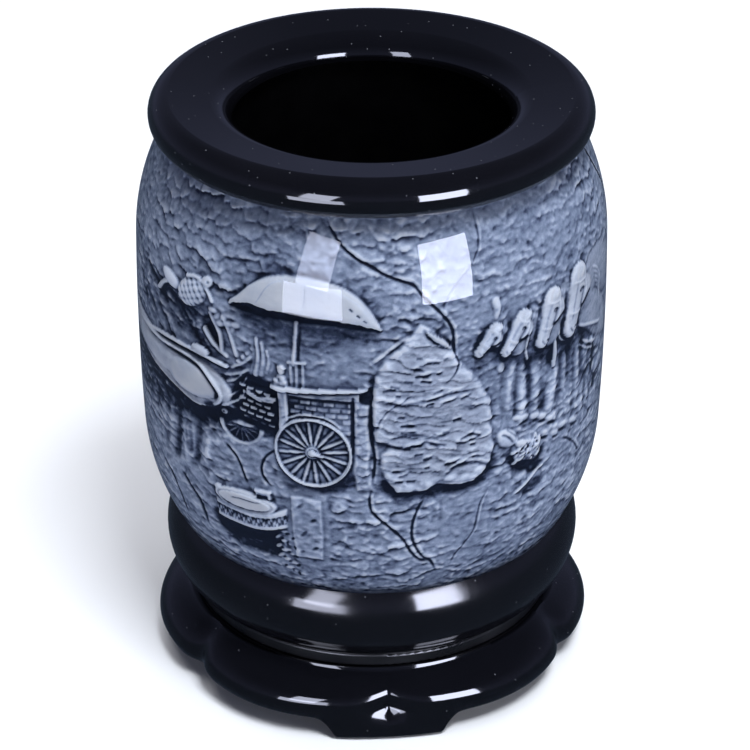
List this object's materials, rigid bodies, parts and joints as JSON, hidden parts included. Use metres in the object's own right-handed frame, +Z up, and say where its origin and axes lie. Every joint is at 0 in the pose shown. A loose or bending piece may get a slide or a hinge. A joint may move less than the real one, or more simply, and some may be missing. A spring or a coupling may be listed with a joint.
{
  "type": "revolving brush holder pot",
  "caption": "Round barrel-shaped brush pot with a stone relief under clear resin, black rings, and a legged stand that it turns on.",
  "frame": {"origin": "on the pot's axis, at the level of the surface it stands on", "axes": "+Z up along the axis that the pot turns about, -Y towards the front, +X to the right seen from the front"},
  "size_m": [0.0998, 0.0998, 0.1317],
  "materials": {
    "rim_lacquer": "high-gloss black lacquer",
    "liner_black": "satin black inside",
    "relief_stone": "cast stone, blue-grey with dark recesses and cream tops",
    "clear_resin": "clear polished casting resin",
    "base_lacquer": "high-gloss black lacquer",
    "race_steel": "plain pressed steel",
    "screw_steel": "zinc-plated steel",
    "insert_brass": "turned brass",
    "bolt_steel": "zinc-plated steel",
    "washer_steel": "zinc-plated steel",
    "ball_steel": "polished bearing steel",
    "cage_plastic": "natural nylon",
    "bush_plastic": "natural nylon",
    "collar_lacquer": "high-gloss black lacquer",
    "stand_lacquer": "high-gloss black lacquer",
    "pad_felt": "pale felt"
  },
  "bodies": {
    "stand": {"stand_foot": "stand_lacquer", "foot_pads": "pad_felt", "collar": "collar_lacquer", "lower_race": "race_steel", "lower_race_screws": "screw_steel", "pivot_bush": "bush_plastic"},
    "ball_ring": {"ball_cage": "cage_plastic", "bearing_balls": "ball_steel"},
    "pot": {"rim_ring": "rim_lacquer", "cup_liner": "liner_black", "relief_sleeve": "relief_stone", "resin_shell": "clear_resin", "base_ring": "base_lacquer", "upper_race": "race_steel", "upper_race_screws": "screw_steel", "pivot_insert": "insert_brass", "pivot_bolt": "bolt_steel", "pivot_washer": "washer_steel"}
  },
  "joints": [
    {"name": "pot_spin", "type": "hinge", "parent": "stand", "child": "pot", "pos_m": [0, 0, 0.0172], "axis": [0, 0, 1], "continuous": true},
    {"name": "ball_ring_spin", "type": "hinge", "parent": "stand", "child": "ball_ring", "pos_m": [0, 0, 0.0172], "axis": [0, 0, 1], "continuous": true}
  ],
  "couplings": [
    {"joint": "ball_ring_spin", "follows": "pot_spin", "ratio": 0.5}
  ]
}
